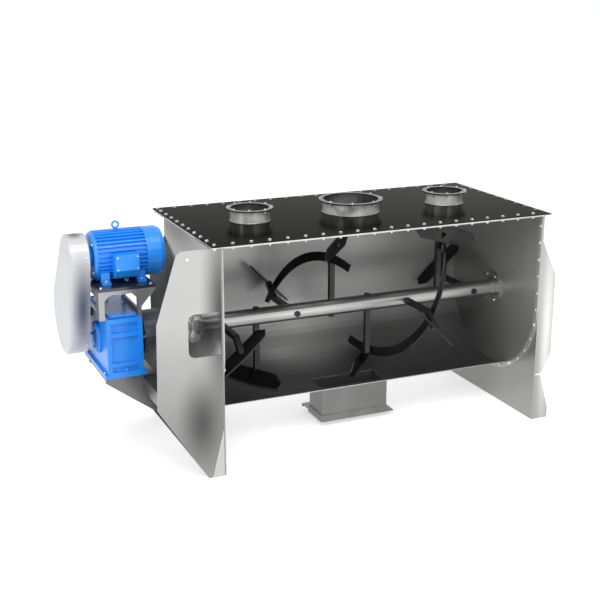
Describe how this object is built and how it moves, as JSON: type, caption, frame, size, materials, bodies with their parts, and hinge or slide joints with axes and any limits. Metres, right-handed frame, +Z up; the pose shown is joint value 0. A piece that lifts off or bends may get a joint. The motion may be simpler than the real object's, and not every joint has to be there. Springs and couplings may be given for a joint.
{
  "type": "ribbon blender",
  "caption": "Horizontal ribbon and paddle blender: U trough with flat lid, inlet ports, bottom slide gate, and a belt-driven geared motor at one end.",
  "frame": {"origin": "on the floor, under the middle of the machine's overall box", "axes": "+X along the shaft from the drive end to the far end, +Y towards the closed rear wall, +Z up"},
  "size_m": [2.733, 1.0412, 1.3321],
  "materials": {
    "brushed_steel": "brushed",
    "mirror_steel": "polished",
    "dark_steel": "satin",
    "blue_paint": "satin",
    "pale_paint": "satin",
    "grey_iron": "machined",
    "black_rubber": "matte",
    "white_seal": "matte"
  },
  "bodies": {
    "frame": {"trough_shell": "brushed_steel", "trough_flange_drive": "brushed_steel", "trough_flange_far": "brushed_steel", "front_rim": "brushed_steel", "far_end_plate": "brushed_steel", "drive_end_plate": "brushed_steel", "front_cheek": "brushed_steel", "rear_cheek": "brushed_steel", "cross_beam": "brushed_steel", "gearbox_base_plate": "brushed_steel", "gusset_front": "brushed_steel", "gusset_rear": "brushed_steel", "discharge_chute": "brushed_steel", "chute_collar": "brushed_steel", "drive_seal_flange": "brushed_steel", "far_seal_flange": "brushed_steel", "lid": "mirror_steel", "inlet_port_drive": "mirror_steel", "inlet_port_centre": "mirror_steel", "inlet_port_far": "mirror_steel", "gearbox_housing": "blue_paint", "gearbox_top_cover": "blue_paint", "gearbox_end_cover": "blue_paint", "motor_frame": "blue_paint", "motor_drive_shield": "blue_paint", "motor_fan_cowl": "blue_paint", "terminal_box": "blue_paint", "terminal_box_lid": "blue_paint", "motor_plate": "pale_paint", "bracket_side_left": "pale_paint", "motor_bracket": "pale_paint", "guard_cover": "pale_paint", "guard_back_plate": "pale_paint", "drive_bearing": "grey_iron", "far_bearing": "grey_iron", "eyebolt": "grey_iron", "v_belt_1": "black_rubber", "v_belt_2": "black_rubber", "lid_seal": "white_seal"},
    "agitator": {"main_shaft": "brushed_steel", "paddle_arm_1": "dark_steel", "paddle_arm_2": "dark_steel", "paddle_arm_3": "dark_steel", "paddle_arm_4": "dark_steel", "paddle_arm_5": "dark_steel", "paddle_arm_6": "dark_steel", "paddle_arm_7": "dark_steel", "paddle_arm_8": "dark_steel", "ribbon_drive_side": "dark_steel", "ribbon_far_side": "dark_steel", "coupling_half_shaft": "grey_iron", "coupling_half_gearbox": "grey_iron", "gearbox_output_shaft": "grey_iron"},
    "gearbox_input": {"gearbox_input_shaft": "grey_iron", "input_pulley": "grey_iron"},
    "motor_rotor": {"motor_shaft": "grey_iron", "motor_pulley": "grey_iron", "motor_fan": "grey_iron"},
    "discharge_gate": {"slide_gate": "brushed_steel"}
  },
  "joints": [
    {"name": "agitator_spin", "type": "hinge", "parent": "frame", "child": "agitator", "pos_m": [0, 0, 0.7], "axis": [1, 0, 0], "continuous": true},
    {"name": "input_spin", "type": "hinge", "parent": "frame", "child": "gearbox_input", "pos_m": [0, 0.17, 0.79], "axis": [1, 0, 0], "continuous": true},
    {"name": "motor_spin", "type": "hinge", "parent": "frame", "child": "motor_rotor", "pos_m": [0, 0, 1.146], "axis": [1, 0, 0], "continuous": true},
    {"name": "gate_slide", "type": "slide", "parent": "frame", "child": "discharge_gate", "axis": [0, 1, 0], "range_m": [0, 0.17]}
  ],
  "couplings": [
    {"joint": "input_spin", "follows": "agitator_spin", "ratio": 18.5},
    {"joint": "motor_spin", "follows": "agitator_spin", "ratio": 40.795}
  ]
}
